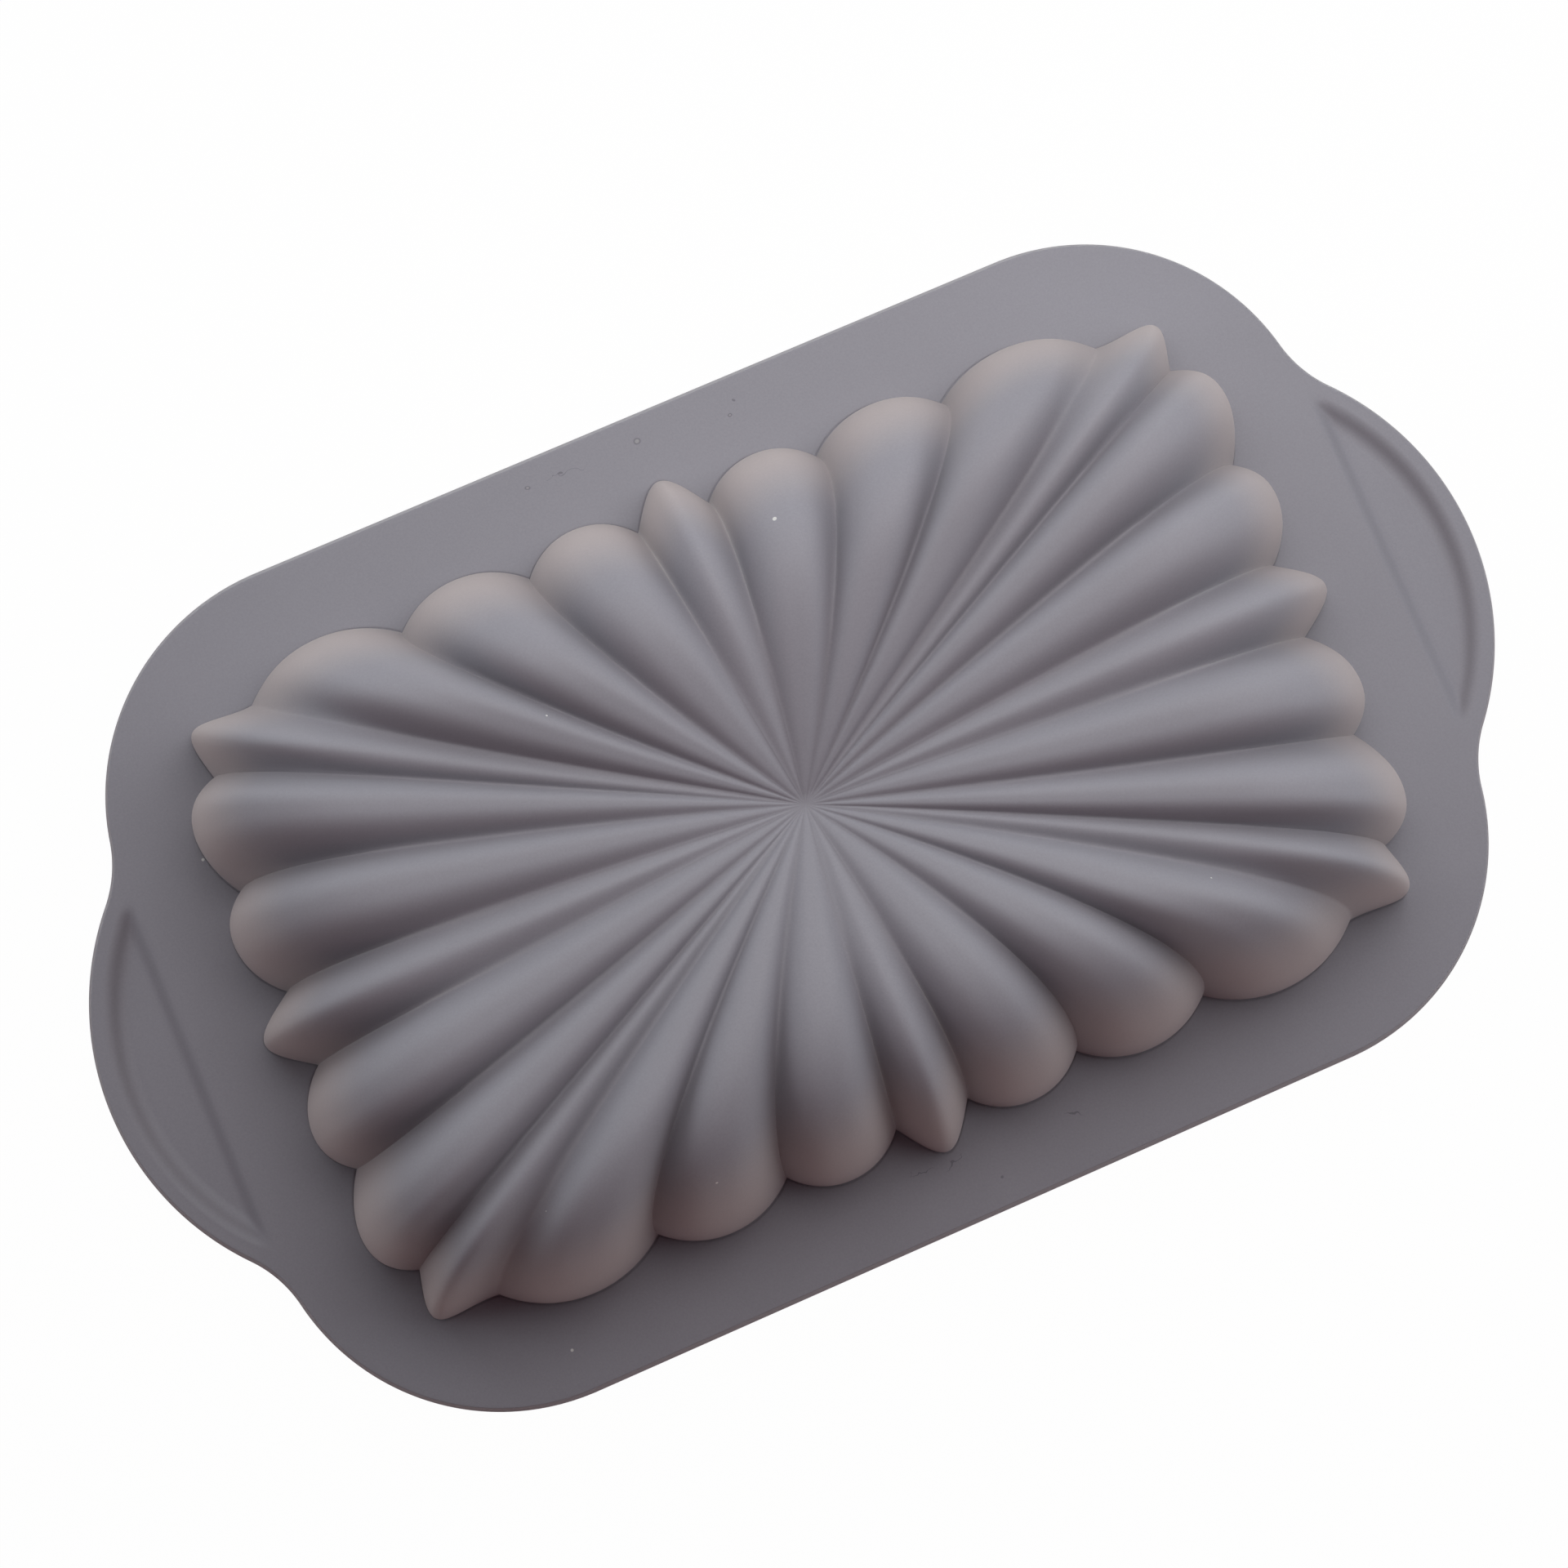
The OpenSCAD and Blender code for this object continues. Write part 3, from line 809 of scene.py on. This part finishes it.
def silicone_surface_group():
    """The matte silicone skin: cloudy and fine-grained colour, rare pale dust, and its height."""
    group, start, end = new_group(
        "silicone skin",
        [
            ("Place", "NodeSocketVector", None),
            ("Colour", "NodeSocketColor", SILICONE_GREY),
            ("Dust colour", "NodeSocketColor", DUST_WHITE),
        ],
        [("Colour", "NodeSocketColor"), ("Roughness", "NodeSocketFloat"), ("Height", "NodeSocketFloat")],
    )
    nodes = group.nodes
    links = group.links
    place = start.outputs["Place"]
    cloud = noise(nodes, links, place, CLOUD_SCALE, CLOUD_DETAIL)
    grain = noise(nodes, links, place, GRAIN_SCALE, GRAIN_DETAIL, GRAIN_ROUGHNESS)
    cloud_gain = math_node(nodes, links, "MULTIPLY_ADD", cloud, CLOUD_SPAN, CLOUD_LOW)
    grain_gain = math_node(nodes, links, "MULTIPLY_ADD", grain, GRAIN_SPAN, GRAIN_LOW)
    gain = math_node(nodes, links, "MULTIPLY", cloud_gain, grain_gain)
    toned = nodes.new("ShaderNodeVectorMath")
    toned.operation = "SCALE"
    links.new(start.outputs["Colour"], toned.inputs[0])
    links.new(gain, toned.inputs["Scale"])
    dust = nodes.new("ShaderNodeTexVoronoi")
    dust.inputs["Scale"].default_value = DUST_SCALE
    links.new(place, dust.inputs["Vector"])
    dust_size = noise(nodes, links, place, DUST_SIZE_SCALE, 0.0)
    dust_reach = math_node(nodes, links, "MULTIPLY_ADD", dust_size, DUST_REACH_SPAN, DUST_REACH_LOW)
    dust_mask = math_node(nodes, links, "LESS_THAN", dust.outputs["Distance"], dust_reach)
    colour = colour_mix(nodes, links, dust_mask, toned.outputs[0], start.outputs["Dust colour"])
    links.new(colour, end.inputs["Colour"])
    rough = math_node(nodes, links, "MULTIPLY_ADD", cloud, ROUGHNESS_SPAN, ROUGHNESS_LOW)
    links.new(rough, end.inputs["Roughness"])
    cloud_height = math_node(nodes, links, "MULTIPLY", cloud, CLOUD_HEIGHT)
    height = math_node(nodes, links, "ADD", cloud_height, grain)
    links.new(height, end.inputs["Height"])
    return group


def mark_group():
    """A mask for one small mark: the place is moved to the mark's centre, turned about Z and divided by
    the mark's half length and half width, and the mask falls from 1 to 0 round a distance of 1. A noise
    shifts the place across the mark, so that a long thin mark wanders like a hair."""
    group, start, end = new_group(
        "mark in the skin",
        [
            ("Place", "NodeSocketVector", None),
            ("Centre", "NodeSocketVector", None),
            ("Turn", "NodeSocketFloat", 0.0),
            ("Half length", "NodeSocketFloat", MM),
            ("Half width", "NodeSocketFloat", MM),
            ("Wander", "NodeSocketFloat", 0.0),
        ],
        [("Mask", "NodeSocketFloat")],
    )
    nodes = group.nodes
    links = group.links
    moved = nodes.new("ShaderNodeVectorMath")
    moved.operation = "SUBTRACT"
    links.new(start.outputs["Place"], moved.inputs[0])
    links.new(start.outputs["Centre"], moved.inputs[1])
    turned = nodes.new("ShaderNodeVectorRotate")
    turned.rotation_type = "Z_AXIS"
    links.new(moved.outputs[0], turned.inputs["Vector"])
    links.new(start.outputs["Turn"], turned.inputs["Angle"])
    parts = nodes.new("ShaderNodeSeparateXYZ")
    links.new(turned.outputs[0], parts.inputs[0])
    along = math_node(nodes, links, "DIVIDE", parts.outputs["X"], start.outputs["Half length"])
    wave = noise(nodes, links, start.outputs["Place"], WANDER_SCALE, WANDER_DETAIL)
    wave = math_node(nodes, links, "SUBTRACT", wave, 0.5)
    shift = math_node(nodes, links, "MULTIPLY", wave, start.outputs["Wander"])
    shifted = math_node(nodes, links, "ADD", parts.outputs["Y"], shift)
    across = math_node(nodes, links, "DIVIDE", shifted, start.outputs["Half width"])
    along_square = math_node(nodes, links, "MULTIPLY", along, along)
    across_square = math_node(nodes, links, "MULTIPLY", across, across)
    square = math_node(nodes, links, "ADD", along_square, across_square)
    distance = math_node(nodes, links, "SQRT", square)
    links.new(map_range(nodes, links, distance, MARK_EDGE_OUT, MARK_EDGE_IN), end.inputs["Mask"])
    return group


def marks_mask(nodes, links, mark_shape, place, marks):
    """The largest mask of several marks, each given as x, y, turn, half length, half width and wander."""
    mask = 0.0
    for x, y, turn, half_length, half_width, wander in marks:
        mark = nodes.new("ShaderNodeGroup")
        mark.node_tree = mark_shape
        links.new(place, mark.inputs["Place"])
        mark.inputs["Centre"].default_value = (x * MM, y * MM, RIM_T * MM)
        mark.inputs["Turn"].default_value = math.radians(turn)
        mark.inputs["Half length"].default_value = half_length * MM
        mark.inputs["Half width"].default_value = half_width * MM
        mark.inputs["Wander"].default_value = wander * MM
        mask = math_node(nodes, links, "MAXIMUM", mark.outputs["Mask"], mask)
    return mask


def attribute_value(nodes, name):
    """The value of one of the mesh's own masks."""
    node = nodes.new("ShaderNodeAttribute")
    node.attribute_name = name
    return node.outputs["Fac"]


def silicone_material(name, skin, mark_shape, flutes):
    """Grey silicone. On the flutes the shoulders are paler and warmer, a painted warm bounce light, the
    valleys darker, a painted shade, and some valleys show a pale line along their bottoms. The flat sheet
    has a few small marks, with painted shade and highlights in its bubble and pits, and, in the grips'
    recesses, lines of painted shade."""
    material = bpy.data.materials.new(name)
    material.use_nodes = True
    nodes = material.node_tree.nodes
    links = material.node_tree.links
    shader = nodes["Principled BSDF"]
    place = nodes.new("ShaderNodeTexCoord").outputs["Object"]
    if flutes:
        # Painted warm bounce light on the shoulders
        bounce_light_share = math_node(nodes, links, "MULTIPLY", attribute_value(nodes, "shoulder"), BOUNCE_LIGHT_SHARE)
        colour = colour_mix(nodes, links, bounce_light_share, SILICONE_GREY, SHOULDER_BOUNCE_LIGHT)
        # Painted shade in the valleys
        shade_share = math_node(nodes, links, "MULTIPLY", attribute_value(nodes, "valley"), VALLEY_SHADE_SHARE)
        colour = colour_mix(nodes, links, shade_share, colour, PAINTED_SHADE)
        patchy = noise(nodes, links, place, PATCH_SCALE, PATCH_DETAIL)
        line_share = math_node(nodes, links, "MULTIPLY", attribute_value(nodes, "line"), patchy)
        # A pale line along the valleys' bottoms, in patches
        colour = colour_mix(nodes, links, line_share, colour, PALE_LINE_AND_HIGHLIGHT)
    else:
        # Dark marks, with painted shade at the bubble's and pits' rims
        dark = marks_mask(nodes, links, mark_shape, place, DARK_MARKS)
        dark_share = math_node(nodes, links, "MULTIPLY", dark, MARK_DARK_SHARE)
        colour = colour_mix(nodes, links, dark_share, SILICONE_GREY, MARK_DARK)
        # Painted highlights in the bubble and pits
        pale = marks_mask(nodes, links, mark_shape, place, HIGHLIGHT_MARKS)
        highlight_share = math_node(nodes, links, "MULTIPLY", pale, HIGHLIGHT_MARK_SHARE)
        colour = colour_mix(nodes, links, highlight_share, colour, PALE_LINE_AND_HIGHLIGHT)
        # Painted shade in the recesses' grooves
        shade_share = math_node(nodes, links, "MULTIPLY", attribute_value(nodes, "valley"), GROOVE_SHADE_SHARE)
        colour = colour_mix(nodes, links, shade_share, colour, PAINTED_SHADE)
    surface = nodes.new("ShaderNodeGroup")
    surface.node_tree = skin
    links.new(place, surface.inputs["Place"])
    links.new(colour, surface.inputs["Colour"])
    links.new(surface.outputs["Colour"], shader.inputs["Base Color"])
    links.new(surface.outputs["Roughness"], shader.inputs["Roughness"])
    bump = nodes.new("ShaderNodeBump")
    bump.inputs["Strength"].default_value = RELIEF_STRENGTH
    bump.inputs["Distance"].default_value = RELIEF_DEPTH
    links.new(surface.outputs["Height"], bump.inputs["Height"])
    links.new(bump.outputs["Normal"], shader.inputs["Normal"])
    shader.inputs["Specular IOR Level"].default_value = SPECULAR
    shader.inputs["Sheen Weight"].default_value = SHEEN
    shader.inputs["Sheen Roughness"].default_value = SHEEN_ROUGHNESS
    return material


skin = silicone_surface_group()
mark_shape = mark_group()
flute_silicone = silicone_material("flute silicone", skin, mark_shape, flutes=True)
sheet_silicone = silicone_material("sheet silicone", skin, mark_shape, flutes=False)

columns = well_columns()
make_well(columns, flute_silicone)
make_rim(columns, sheet_silicone)
make_grip(1, "right_grip", sheet_silicone)
make_grip(-1, "left_grip", sheet_silicone)

# Table: white to the camera, but it keeps a share of its own light, so that the shadow stays. From below
# the camera sees through it, and it lies a hair lower than the rim. It gives off a weak warm light, which
# stands for what the table throws back under the mould's far side.
FLOOR_SIZE = 3.0
FLOOR_GAP = 0.00004
FLOOR_WHITE = 0.98
FLOOR_COLOUR = (0.8, 0.8, 0.8, 1)
FLOOR_ROUGHNESS = 0.9
FLOOR_GLOW = (1.0, 0.6, 0.5, 1)
FLOOR_GLOW_STRENGTH = 0.12


def table_material():
    """The table's own surface mixed with white for what the camera sees of it, and nothing on its back."""
    material = bpy.data.materials.new("white table")
    material.use_nodes = True
    nodes = material.node_tree.nodes
    links = material.node_tree.links
    shader = nodes["Principled BSDF"]
    shader.inputs["Base Color"].default_value = FLOOR_COLOUR
    shader.inputs["Roughness"].default_value = FLOOR_ROUGHNESS
    shader.inputs["Emission Color"].default_value = FLOOR_GLOW
    shader.inputs["Emission Strength"].default_value = FLOOR_GLOW_STRENGTH
    white = nodes.new("ShaderNodeEmission")
    seen = nodes.new("ShaderNodeLightPath").outputs["Is Camera Ray"]
    share = math_node(nodes, links, "MULTIPLY", seen, FLOOR_WHITE)
    blend = nodes.new("ShaderNodeMixShader")
    links.new(share, blend.inputs[0])
    links.new(shader.outputs[0], blend.inputs[1])
    links.new(white.outputs[0], blend.inputs[2])
    back = nodes.new("ShaderNodeNewGeometry").outputs["Backfacing"]
    clear = nodes.new("ShaderNodeBsdfTransparent")
    open_below = nodes.new("ShaderNodeMixShader")
    links.new(back, open_below.inputs[0])
    links.new(blend.outputs[0], open_below.inputs[1])
    links.new(clear.outputs[0], open_below.inputs[2])
    links.new(open_below.outputs[0], nodes["Material Output"].inputs["Surface"])
    return material


bpy.ops.mesh.primitive_plane_add(size=FLOOR_SIZE, location=(0, 0, -FLOOR_GAP))
floor = bpy.context.object
floor.name = "table"
floor.data.materials.append(table_material())

# Camera: almost straight above the mould, which lies turned on the table.
# The rows are the world's X, Y and Z parts of the camera's right, up and back directions.
CAMERA_PLACE = Vector((-0.0220, -0.0206, 0.4250))
CAMERA_AXES = Matrix((
    (0.9173, 0.3949, -0.0502),
    (-0.3976, 0.9153, -0.0639),
    (0.0207, 0.0786, 0.9967),
))
LENS = 51.47
SENSOR_W = 36.0
NEAREST_SEEN = 0.01
camera_data = bpy.data.cameras.new("camera")
camera_data.lens = LENS
camera_data.sensor_width = SENSOR_W
camera_data.clip_start = NEAREST_SEEN
camera = bpy.data.objects.new("camera", camera_data)
camera.matrix_world = Matrix.Translation(CAMERA_PLACE) @ CAMERA_AXES.to_4x4()
bpy.context.collection.objects.link(camera)
bpy.context.scene.camera = camera

# Lights. Directions are clockwise from the picture's upper edge and rises are over the table, in degrees;
# distances and sizes are in metres. Three near windows stand over the picture's upper half. Six low, cooler
# lights stand beyond its left, upper and right edges, the two corners between them and the lower right one.
PICTURE_UP = CAMERA_AXES @ Vector((0, 1, 0))
PICTURE_RIGHT = CAMERA_AXES @ Vector((1, 0, 0))
# Direction and power of each
WINDOWS = ((-45, 0.16), (0, 0.25), (45, 0.35))
LOW_LIGHTS = ((-90, 0.47), (-45, 0.5), (0, 0.37), (45, 0.43), (90, 0.51), (135, 0.14))
WINDOW_RISE = 60
WINDOW_DISTANCE = 0.36
WINDOW_SIZE = 0.24
WINDOW_COLOUR = (1.0, 0.98, 0.975)
LOW_RISE = 22
LOW_DISTANCE = 0.6
LOW_SIZE = 0.3
LOW_COLOUR = (0.88, 0.97, 1.0)


def soft_light(name, turn, rise, distance, size, power, colour):
    """A square area light that looks at the mould. Its place is the distance times (cosine of the rise
    along the flat direction, sine of the rise upwards), and the flat direction is picture up times the
    turn's cosine plus picture right times its sine."""
    data = bpy.data.lights.new(name, "AREA")
    data.size = size
    data.energy = power
    data.color = colour
    lamp = bpy.data.objects.new(name, data)
    turn = math.radians(turn)
    rise = math.radians(rise)
    flat = PICTURE_UP * math.cos(turn) + PICTURE_RIGHT * math.sin(turn)
    flat.z = 0
    place = flat.normalized() * math.cos(rise) * distance + Vector((0, 0, math.sin(rise) * distance))
    lamp.location = place
    lamp.rotation_euler = (-place).to_track_quat("-Z", "Y").to_euler()
    bpy.context.collection.objects.link(lamp)


for turn, power in WINDOWS:
    soft_light(f"window {turn}", turn, WINDOW_RISE, WINDOW_DISTANCE, WINDOW_SIZE, power, WINDOW_COLOUR)
for turn, power in LOW_LIGHTS:
    soft_light(f"low light {turn}", turn, LOW_RISE, LOW_DISTANCE, LOW_SIZE, power, LOW_COLOUR)

# A warm glow from what stands round the picture's lower half. It fades in and out with the direction's
# upward part, and from the lower half to the upper one with its part towards the picture's upper edge.
GLOW = (1.0, 0.35, 0.45, 1)
GLOW_STRENGTH = 0.24
GLOW_FADES_IN = (0.15, 0.35)
GLOW_FADES_OUT = (0.7, 0.45)
GLOW_LOWER_HALF = (0.3, -0.3)
BACKDROP_WHITE = (1, 1, 1, 1)


def surroundings():
    """The glow for all light, and plain white for what the camera sees past the table."""
    world = bpy.data.worlds.new("surroundings")
    world.use_nodes = True
    nodes = world.node_tree.nodes
    links = world.node_tree.links
    towards = nodes.new("ShaderNodeTexCoord").outputs["Generated"]
    direction = nodes.new("ShaderNodeSeparateXYZ")
    links.new(towards, direction.inputs[0])
    rising = map_range(nodes, links, direction.outputs["Z"], *GLOW_FADES_IN)
    falling = map_range(nodes, links, direction.outputs["Z"], *GLOW_FADES_OUT)
    band = math_node(nodes, links, "MULTIPLY", rising, falling)
    upwards = nodes.new("ShaderNodeVectorMath")
    upwards.operation = "DOT_PRODUCT"
    links.new(towards, upwards.inputs[0])
    upwards.inputs[1].default_value = Vector((PICTURE_UP.x, PICTURE_UP.y, 0)).normalized()
    lower_half = map_range(nodes, links, upwards.outputs["Value"], *GLOW_LOWER_HALF)
    lower_band = math_node(nodes, links, "MULTIPLY", band, lower_half)
    glow = nodes["Background"]
    glow.inputs["Color"].default_value = GLOW
    links.new(math_node(nodes, links, "MULTIPLY", lower_band, GLOW_STRENGTH), glow.inputs["Strength"])
    backdrop = nodes.new("ShaderNodeBackground")
    backdrop.inputs["Color"].default_value = BACKDROP_WHITE
    blend = nodes.new("ShaderNodeMixShader")
    links.new(nodes.new("ShaderNodeLightPath").outputs["Is Camera Ray"], blend.inputs[0])
    links.new(glow.outputs[0], blend.inputs[1])
    links.new(backdrop.outputs[0], blend.inputs[2])
    links.new(blend.outputs[0], nodes["World Output"].inputs["Surface"])
    return world


bpy.context.scene.world = surroundings()
bpy.context.scene.view_settings.view_transform = "Standard"
